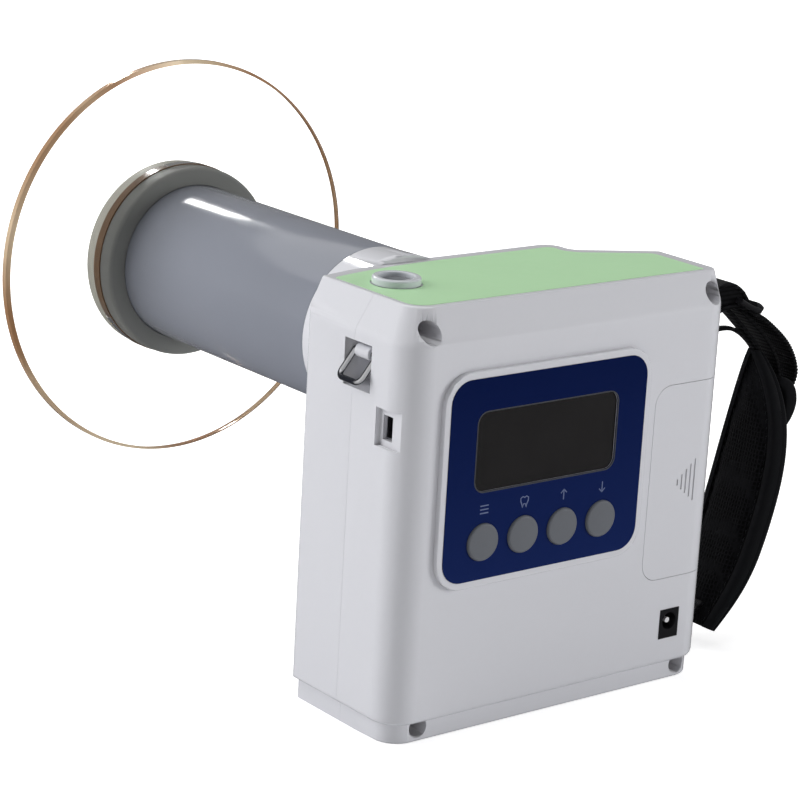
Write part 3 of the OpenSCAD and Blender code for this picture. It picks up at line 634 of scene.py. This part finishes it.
def pad_core_section(u):
    """The mesh-faced foam: crowned towards the hand, straight behind."""
    w, t = pad_half(u) - 1.0, pad_thick(u)
    crown = min(0.9, w * 0.08)
    face = [(-crown * (1 - (k / 8) ** 2) * (1 - 0.25 * abs(k / 8)), w * k / 8) for k in range(-8, 9)]
    return face + [(t * 0.25, w + 0.2), (t * 0.55, w - 0.2), (t * 0.55, -w + 0.2), (t * 0.25, -w - 0.2)]


def pad_cover_section(u):
    """The smooth outer cover, from seam to seam over the back of the pad."""
    w, t = pad_half(u), pad_thick(u)
    seam = t * 0.4
    side = [(seam, w - 0.75), (t * 0.56, w - 0.12), (t * 0.75, w + 0.05), (t * 0.92, w - 1.0)]
    back = [(t + 0.55 * (1 - (k / 5) ** 2), (w - 2.6) * k / 5) for k in range(5, -6, -1)]
    return side + back + [(depth, -y) for depth, y in reversed(side)]


def pad_binding_section(side):
    """Folded tape bound round one edge of the pad."""
    def section(u):
        w, t = pad_half(u), pad_thick(u)
        seam = t * 0.53
        outer = [(-0.55, w - 2.2), (-0.75, w - 1.1), (-0.45, w - 0.1), (0.35, w + 0.5)]
        outer += [(seam * 0.5, w + 0.62), (seam - 0.4, w + 0.5), (seam, w + 0.1)]
        inner = [(seam - 0.3, w - 0.5), (0.5, w - 0.4), (0.1, w - 1.6)]
        return [(depth, side * y) for depth, y in outer + inner]
    return section


def stitches(name, line, depth, offset):
    """Short raised threads in a row beside the bound edge."""
    bm = bmesh.new()
    count = len(line) - 1
    for k in range(3, count - 2, 3):
        u = k / count
        run = (line[k + 1] - line[k - 1]).normalized()
        out = Vector((run.y, -run.x))
        for side in (-1, 1):
            y = side * (pad_half(u) - offset)
            centre = line[k] + out * depth
            rows = []
            for along, lift in ((-0.75, 0.12), (-0.4, -0.08), (0.4, -0.08), (0.75, 0.12)):
                spot = centre + run * along + out * lift
                row = []
                for a, b in ((-0.12, 0.0), (0.0, 0.16), (0.12, 0.0), (0.0, -0.16)):
                    place = (spot.x + out.x * a, STRAP_Y + y + b, spot.y + out.y * a)
                    row.append(bm.verts.new(Vector(place) * MM))
                rows.append(row)
            for a, b in zip(rows, rows[1:]):
                for j in range(4):
                    i = (j + 1) % 4
                    bm.faces.new((a[j], a[i], b[i], b[j]))
            bm.faces.new(rows[0])
            bm.faces.new(rows[-1][::-1])
    made = to_object(bm, name, "housing", (), "strap_web")
    made.data.materials[0] = MATERIALS["strap_tape"]
    return made


PUFF_VOXEL = 1.9
PUFF_LIMIT = 1.1
PUFF_FRAMES = 20


def settled_mesh(obj):
    """The object's mesh with its modifiers worked in."""
    graph = bpy.context.evaluated_depsgraph_get()
    return bpy.data.meshes.new_from_object(obj.evaluated_get(graph))


def puff(obj):
    """Blows a soft piece up a little from inside with a cloth simulation, and fixes the result."""
    remesh = obj.modifiers.new("even_mesh", "REMESH")
    remesh.mode = "VOXEL"
    remesh.voxel_size = PUFF_VOXEL * MM
    material = obj.data.materials[0]
    obj.data = settled_mesh(obj)
    obj.modifiers.clear()
    start = [v.co.copy() for v in obj.data.vertices]
    cloth = obj.modifiers.new("foam", "CLOTH")
    cloth.settings.use_pressure = True
    cloth.settings.uniform_pressure_force = 4
    cloth.settings.effector_weights.gravity = 0
    cloth.point_cache.frame_start = 1
    cloth.point_cache.frame_end = PUFF_FRAMES
    for frame_number in range(1, PUFF_FRAMES + 1):
        bpy.context.scene.frame_set(frame_number)
    blown = settled_mesh(obj)
    obj.modifiers.clear()
    for vert, rest, moved in zip(obj.data.vertices, start, blown.vertices):
        push = moved.co - rest
        if push.length > PUFF_LIMIT * MM:
            push *= PUFF_LIMIT * MM / push.length
        vert.co = rest + push
    bpy.context.scene.frame_set(1)
    obj.data.materials.clear()
    obj.data.materials.append(material)
    obj.data.shade_smooth()
    fine = obj.modifiers.new("fine", "SUBSURF")
    fine.levels = fine.render_levels = 1


def build_pad():
    """Foam faced with mesh, its smooth cover, the tape bound round both edges and the stitching."""
    line = even_line(PAD_LINE, 1.0)
    foam = sweep("strap_pad_mesh", line, pad_core_section, "strap_mesh", ["strap_pad"])
    puff(foam)
    sweep("strap_pad_cover", line, pad_cover_section, "strap_web", (), "strap_tape")
    for name, side in (("near", -1), ("far", 1)):
        sweep("strap_binding_" + name, line, pad_binding_section(side), "strap_web", (), "strap_tape")
    stitches("strap_stitches", line, -0.5, 3.1)


def build_webbing():
    """The tail on the outside, the loop through the upper ring, and the strap to the lower ring."""
    half = 5.0
    tail = [(98.5, 131.0), (105.0, 126.4), (114.5, 120.8), (125.4, 111.6), (130.8, 101.8)]
    tail += [(129.4, 95.0), (125.0, 91.0), (122.8, 83.0)]
    line = even_line(tail, 0.3)
    ribs = round(len(line) * 0.3 / 1.25)
    sweep("webbing_tail", line, ribbed(half, 1.7, ribs, 0.16), "strap_web", ["strap_webbing"])
    under = [(98.5, 128.6), (105.2, 123.3), (113.3, 116.4), (119.9, 108.6)]
    under += [(123.4, 100.7), (123.0, 93.0)]
    sweep("webbing_back", even_line(under, 0.5), band_section(3.7, 1.5), "strap_web")
    inner = [(84.0, 129.0), (91.0, 129.0), (95.6, 127.0), (100.9, 122.6)]
    inner += [(106.4, 117.6), (113.0, 110.6), (118.0, 103.0)]
    sweep("webbing_inner", even_line(inner, 0.5), band_section(2.5, 1.5), "strap_web")
    cord = [(81.0, 117.0), (87.5, 119.6), (94.2, 120.3), (100.0, 119.4)]
    cord += [(106.1, 116.2), (112.0, 110.6), (115.0, 105.0)]
    sweep("webbing_keeper", even_line(cord, 0.5), band_section(1.5, 1.5, 0.6), "strap_web")
    foot = [(92.5, 16.0), (86.5, 11.8), (81.5, 11.0), (77.6, 12.6)]
    sweep("webbing_foot", even_line(foot, 0.5), band_section(half, 1.6), "strap_web")


def build_ring_loop():
    """Webbing folded back over the upper ring into the slider."""
    loop = [(103.5, 128.8), (98.2, 135.0), (91.8, 138.0), (85.5, 136.6), (80.6, 132.2), (77.2, 129.2)]
    loop += [(76.9, 126.1), (79.4, 124.7), (84.0, 126.4), (90.0, 128.9), (97.5, 129.3), (103.0, 127.0)]
    sweep("webbing_loop", even_line(loop, 0.4), band_section(5.0, 1.5), "strap_web")
    fill = [(81.5, 130.4), (87.0, 133.4), (93.0, 133.8), (99.5, 130.8)]
    sweep("webbing_fold", even_line(fill, 0.4), band_section(4.6, 7.4, 0.8), "strap_web")


def build_slider():
    """Bar buckle that the tail is turned back through: an outer loop with a middle bar."""
    line = [(96.0, 131.9), (100.5, 129.4), (106.6, 126.9)]
    plate = band_section(8.0, 2.0, 0.7)
    sweep("slider_plate", even_line(line, 0.5), plate, "black_plastic", ["strap_buckle"])
    bar = [(104.6, 128.9), (106.4, 128.2), (107.8, 127.0)]
    sweep("slider_bar", even_line(bar, 0.3), band_section(7.2, 3.2, 1.2), "black_plastic")


def build_sleeve():
    """Sleeve at the pad's head that the webbing's tail is sewn into."""
    def section(u):
        w = 6.0 + 2.4 * math.sin(math.pi * u) ** 0.6
        t = 0.9 + 2.3 * math.sin(math.pi * min(1.0, u + 0.08)) ** 0.7
        return band_section(w, t * 2, min(1.4, t * 0.6))(u)
    line = [(121.6, 98.5), (125.4, 95.5), (126.6, 90.5), (125.2, 84.0), (122.2, 77.0)]
    sweep("strap_sleeve", even_line(line, 0.8), section, "strap_web", (), "strap_tape")


def build_strap():
    build_pad()
    build_webbing()
    build_ring_loop()
    build_slider()
    build_sleeve()


# ---------- stage ----------


FLOOR_HALF = 9.0
NEAR_GLOW = 0.6
DIM_WORLD = 0.2


def floor_paper():
    """Pale paper that is white to the eye far out and dim in glossy surfaces."""
    s = Shader("floor_paper")
    tone = s.mix(s.noise(3.0, 2.0), (0.93, 0.93, 0.935, 1), (0.95, 0.95, 0.955, 1))
    path = s.node("ShaderNodeLightPath").outputs
    glossy = s.math("MULTIPLY", path["Is Glossy Ray"], path["Is Reflection Ray"])
    bounced = s.math("GREATER_THAN", path["Glossy Depth"], 0.5)
    through = s.math("MULTIPLY", path["Is Transmission Ray"], bounced)
    mirrored = s.mix(s.math("MAXIMUM", glossy, through), tone, (0.10, 0.10, 0.105, 1))
    far = s.node("ShaderNodeVectorMath", {0: s.coord}, operation="LENGTH").outputs["Value"]
    glow = s.math("MULTIPLY", s.plain_sight(), s.window(far, 0.5, 1.6, NEAR_GLOW, 1.0))
    return s.surface(mirrored, 0.7, specular=0.1, glow=(1, 1, 1, 1), glow_power=glow)


def build_floor():
    bm = bmesh.new()
    bmesh.ops.create_grid(bm, x_segments=8, y_segments=8, size=FLOOR_HALF)
    mesh = bpy.data.meshes.new("floor")
    bm.to_mesh(mesh)
    bm.free()
    floor = bpy.data.objects.new("floor", mesh)
    floor.data.materials.append(floor_paper())
    bpy.context.scene.collection.objects.link(floor)


def softbox(name, place, aim, size, power, mirrored=True):
    """Square lamp; one that isn't mirrored leaves no highlight on glossy surfaces."""
    light = bpy.data.lights.new(name, "AREA")
    light.shape = "RECTANGLE"
    light.size, light.size_y = size
    light.energy = power
    lamp = bpy.data.objects.new(name, light)
    lamp.location = place
    lamp.rotation_euler = (Vector(aim) - Vector(place)).to_track_quat("-Z", "Y").to_euler()
    lamp.visible_glossy = mirrored
    lamp.visible_transmission = mirrored
    bpy.context.scene.collection.objects.link(lamp)


def build_lights():
    """Soft light from left and right, a wide one overhead and a small one for the cone's streak."""
    aim = (0.0, 0.0, 0.08)
    softbox("key_left", (-1.4, 1.15, 0.75), aim, (1.2, 1.4), 21, False)
    softbox("key_right", (1.45, -1.25, 0.42), aim, (0.9, 0.9), 18.2, False)
    softbox("overhead", (0.0, 0.5, 1.8), aim, (2.2, 2.2), 15.5)
    softbox("streak", (0.37, 1.44, 1.0), aim, (0.16, 0.22), 2.4)
    softbox("far_left", (-1.9, 1.5, 0.9), aim, (0.5, 1.6), 5, False)


def build_world():
    """White to the eye, also through the clear shield, but dim to lit and mirrored surfaces."""
    world = bpy.data.worlds.new("studio")
    bpy.context.scene.world = world
    world.use_nodes = True
    graph = Graph(world.node_tree)
    power = graph.window(graph.plain_sight(), 0.0, 1.0, DIM_WORLD, 1.0)
    back = graph.node("ShaderNodeBackground", {"Color": (1, 1, 1, 1), "Strength": power})
    graph.node("ShaderNodeOutputWorld", {"Surface": back.outputs[0]})


CAMERA_PLACE = Vector((-0.5953, -0.6794, 0.3560))
CAMERA_RIGHT = Vector((0.78954, -0.61125, 0.05455))
CAMERA_UP = Vector((0.12425, 0.24628, 0.96117))


def build_camera():
    """The photo's camera, solved together with the object's sizes."""
    camera = bpy.data.objects.new("camera", bpy.data.cameras.new("camera"))
    camera.data.lens = 122
    camera.data.sensor_width = 36
    camera.data.clip_start = 0.05
    back = CAMERA_RIGHT.cross(CAMERA_UP)
    turn = Matrix((CAMERA_RIGHT, CAMERA_UP, back)).transposed().to_4x4()
    camera.matrix_world = Matrix.Translation(CAMERA_PLACE) @ turn
    bpy.context.scene.collection.objects.link(camera)
    bpy.context.scene.camera = camera


# ---------- materials ----------


def smoked_glass(name):
    """Dark display window with an uneven polish."""
    s = Shader(name)
    tone = s.mix(s.noise(60.0, 2.0), (0.012, 0.011, 0.011, 1), (0.02, 0.019, 0.019, 1))
    return s.surface(tone, s.spread(s.noise(140.0, 2.0), 0.04, 0.10), coat=0.5, coat_rough=0.03)


def make_materials():
    """One material for each slot of the record, and those of the visible pieces' own finishes."""
    return {
        "white_abs": white_shell("white_abs"),
        "green_label": plastic("green_label", (0.515, 0.815, 0.48), 0.42, 1200.0, 0.003, 0.02),
        "navy_overlay": navy("navy_overlay"),
        "display_glass": smoked_glass("display_glass"),
        "display_black": plastic("display_black", (0.03, 0.03, 0.035), 0.5),
        "lcd_grey": plastic("lcd_grey", (0.06, 0.065, 0.06), 0.25),
        "board_green": board("board_green"),
        "key_grey": plastic("key_grey", (0.165, 0.175, 0.195), 0.3, 1500.0, 0.006, 0.04),
        "pale_ring": milky("pale_ring"),
        "steel": metal("steel", (0.55, 0.56, 0.58), 0.28, (1.0, 1.0, 0.12)),
        "chrome_wire": chrome("chrome_wire"),
        "pin_nickel": plastic("pin_nickel", (0.85, 0.85, 0.87), 0.3),
        "battery_wrap": plastic("battery_wrap", (0.03, 0.09, 0.30), 0.3, 300.0, 0.02, 0.08),
        "black_plastic": plastic("black_plastic", (0.012, 0.012, 0.014), 0.34, 1400.0, 0.006, 0.1),
        "contact_brass": metal("contact_brass", (0.75, 0.55, 0.25), 0.25),
        "strap_mesh": spacer_mesh("strap_mesh"),
        "strap_web": webbing("strap_web"),
        "cone_grey": plastic("cone_grey", (0.262, 0.278, 0.325), 0.17, 500.0, 0.002, 0.025, 0.3),
        "lead": metal("lead", (0.22, 0.23, 0.25), 0.55, (1.0, 0.2, 1.0), 0.01),
        "flange_grey": plastic("flange_grey", (0.20, 0.205, 0.195), 0.4, 1100.0, 0.006, 0.05),
        "flange_pale": plastic("flange_pale", (0.31, 0.305, 0.27), 0.4, 1100.0, 0.006, 0.05),
        "shield_clear": clear("shield_clear", (0.985, 0.985, 0.97, 1), 0.0, 1.04),
        "shield_rim": copper_edge("shield_rim"),
        # Brown of the hub ring: partly the acrylic's amber tint, partly painted shade.
        "hub_brown": plastic("hub_brown", (0.17, 0.10, 0.055), 0.3, 400.0, 0.01, 0.2, 0.3),
        "print_pale": plastic("print_pale", (0.16, 0.20, 0.36), 0.5, 800.0, 0.002, 0.08),
        "print_silver": metal("print_silver", (0.62, 0.64, 0.66), 0.3, (1.0, 1.0, 1.0), 0.001),
        "strap_tape": tape("strap_tape"),
        "grip_rubber": plastic("grip_rubber", (0.015, 0.015, 0.015), 0.6, 800.0, 0.02, 0.1),
        "tank_metal": metal("tank_metal", (0.5, 0.51, 0.53), 0.35, (0.1, 1.0, 1.0)),
        "tube_glass": clear("tube_glass", (0.9, 0.95, 0.96, 1), 0.02, 1.48),
        "winding": winding("winding"),
        "filter_aluminium": metal("filter_aluminium", (0.65, 0.66, 0.68), 0.3, (0.1, 1.0, 1.0)),
        "port_plastic": clear("port_plastic", (0.9, 0.9, 0.85, 1), 0.05, 1.45),
    }


def white_shell(name):
    """Glossy white moulding, with painted shade making it greyer down in its recesses."""
    s = Shader(name)
    grain = s.noise(650.0, 3.0)
    tone = s.mix(grain, (0.774, 0.779, 0.824, 1), (0.786, 0.791, 0.836, 1))
    reach = {"Distance": 9 * MM}
    # Painted shade: an occlusion mask mixes the white towards grey deep in recesses and near walls.
    recess_openness_for_painted_shade = s.node("ShaderNodeAmbientOcclusion", reach, samples=6, only_local=True).outputs["AO"]
    tone = s.mix(s.window(recess_openness_for_painted_shade, 0.1, 0.62), (0.56, 0.55, 0.57, 1), tone)
    gloss = s.spread(s.noise(90.0, 2.0), 0.15, 0.17)
    return s.surface(tone, gloss, normal=s.bump(grain, 0.0012 * MM), coat=0.6, coat_rough=0.05)


def navy(name):
    """Glossy reverse-printed film, with painted light making it a little paler towards the bottom."""
    s = Shader(name)
    low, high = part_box("control_overlay")
    # Painted light: a ramp over the panel's height paints the film paler low down and darker high up.
    height = s.window(s.axis("Z"), low.z, high.z)
    base = s.mix(height, (0.006, 0.018, 0.105, 1), (0.0004, 0.007, 0.062, 1))
    ink = s.mix(s.math("MULTIPLY", s.noise(900.0, 2.0), 0.08), base, (0.006, 0.02, 0.10, 1))
    gloss = s.spread(s.noise(60.0, 2.0), 0.27, 0.29)
    return s.surface(ink, gloss, normal=s.bump(s.noise(1600.0), 0.0015 * MM), specular=0.16)


def chrome(name):
    """Chromed wire: a painted reflection of the studio, a bright core between dark edges."""
    s = Shader(name)
    facing = s.node("ShaderNodeLayerWeight", {"Blend": 0.5}).outputs["Facing"]
    # Painted reflection: the facing angle darkens the edges and leaves the core bright in the base
    # colour.
    rim = s.window(facing, 0.12, 0.34)
    core = s.mix(s.noise(300.0, 2.0), (0.88, 0.88, 0.90, 1), (0.96, 0.96, 0.98, 1))
    return s.surface(s.mix(rim, core, (0.02, 0.022, 0.03, 1)), 0.08, metallic=0.3)


def milky(name):
    """Milky moulding."""
    s = Shader(name)
    tone = s.mix(s.noise(180.0, 3.0), (0.66, 0.69, 0.73, 1), (0.76, 0.79, 0.83, 1))
    return s.surface(tone, 0.16, coat=0.6, coat_rough=0.05, ior=1.45)


def copper_edge(name):
    """Polished edge of leaded acrylic: its own copper-brown tint, with painted gold glints in patches
    for the light that it gathers.
    """
    s = Shader(name)
    # Painted glints: noise patches take the brown edge up to bright gold.
    glow = s.window(s.noise(16.0, 2.0), 0.36, 0.62)
    tone = s.mix(glow, (0.47, 0.25, 0.12, 1), (1.0, 0.80, 0.55, 1))
    gloss = s.spread(s.noise(260.0, 2.0, vector=s.stretch((1.0, 0.08, 1.0))), 0.10, 0.24)
    return s.surface(tone, gloss, metallic=0.25, coat=0.8, coat_rough=0.03)


def winding(name):
    """Enamelled copper wire wound side by side."""
    s = Shader(name)
    ins = {"Vector": s.coord, "Scale": 260.0, "Distortion": 0.4}
    wires = s.node("ShaderNodeTexWave", ins, wave_type="BANDS", bands_direction="X").outputs["Fac"]
    tone = s.mix(wires, (0.16, 0.05, 0.015, 1), (0.55, 0.22, 0.08, 1))
    return s.surface(tone, 0.3, metallic=0.7, normal=s.bump(wires, 0.12 * MM))


def spacer_mesh(name):
    """Black knitted spacer mesh: rows of small open cells with a faint sheen on the yarn."""
    s = Shader(name)
    place = s.stretch((0.25, 1.0, 0.8))
    ins = {"Vector": place, "Scale": 760.0, "Randomness": 0.3}
    cells = s.node("ShaderNodeTexVoronoi", ins, feature="DISTANCE_TO_EDGE").outputs["Distance"]
    yarn = s.math("SUBTRACT", 1.0, s.math("MINIMUM", s.math("MULTIPLY", cells, 3.2), 1.0))
    tone = s.mix(yarn, (0.0007, 0.0007, 0.0009, 1), (0.0065, 0.0066, 0.0078, 1))
    fuzz = s.noise(2500.0, 2.0)
    relief = s.math("ADD", yarn, s.math("MULTIPLY", fuzz, 0.3))
    return s.surface(tone, 0.8, normal=s.bump(relief, 0.25 * MM), sheen=0.02, specular=0.08)


def webbing(name):
    """Black nylon webbing: close cross ribs with fine warp threads running along it."""
    s = Shader(name)
    ribs = {"Vector": s.stretch((1.0, 0.0, 1.0)), "Scale": 190.0, "Distortion": 0.3}
    rows = s.node("ShaderNodeTexWave", ribs, wave_type="BANDS", bands_direction="Z").outputs["Fac"]
    warp = {"Vector": s.coord, "Scale": 330.0, "Distortion": 0.6}
    threads = s.node("ShaderNodeTexWave", warp, wave_type="BANDS", bands_direction="Y").outputs["Fac"]
    weave = s.math("MULTIPLY", rows, s.math("ADD", s.math("MULTIPLY", threads, 0.5), 0.5))
    tone = s.mix(weave, (0.0007, 0.0007, 0.0009, 1), (0.009, 0.0092, 0.011, 1))
    return s.surface(tone, 0.55, normal=s.bump(weave, 0.3 * MM), sheen=0.03, specular=0.14)


def tape(name):
    """Smooth bound edge of folded nylon tape with a satin sheen."""
    s = Shader(name)
    grain = s.noise(1400.0, 3.0)
    tone = s.mix(grain, (0.0035, 0.0037, 0.0047, 1), (0.0065, 0.0068, 0.0085, 1))
    return s.surface(tone, 0.5, normal=s.bump(grain, 0.05 * MM), sheen=0.03, specular=0.12)


MATERIALS = make_materials()
SLOT = {part["node"]: part["material_slot"] for part in frame["record"]["subparts"]}
SLOT["dc_jack_pin"] = "pin_nickel"


def dress_frame():
    """Gives each CAD node its slot's material."""
    for node, obj in NODES.items():
        obj.data.materials.clear()
        obj.data.materials.append(MATERIALS[SLOT[node]])
        for face in obj.data.polygons:
            face.material_index = 0


dress_frame()
build_rear_shell()
build_front_shell()
build_door()
build_cone()
build_flanges()
build_shield()
build_prints()
build_strap()
build_floor()
build_lights()
build_world()
build_camera()
bpy.context.scene.view_settings.view_transform = "Standard"
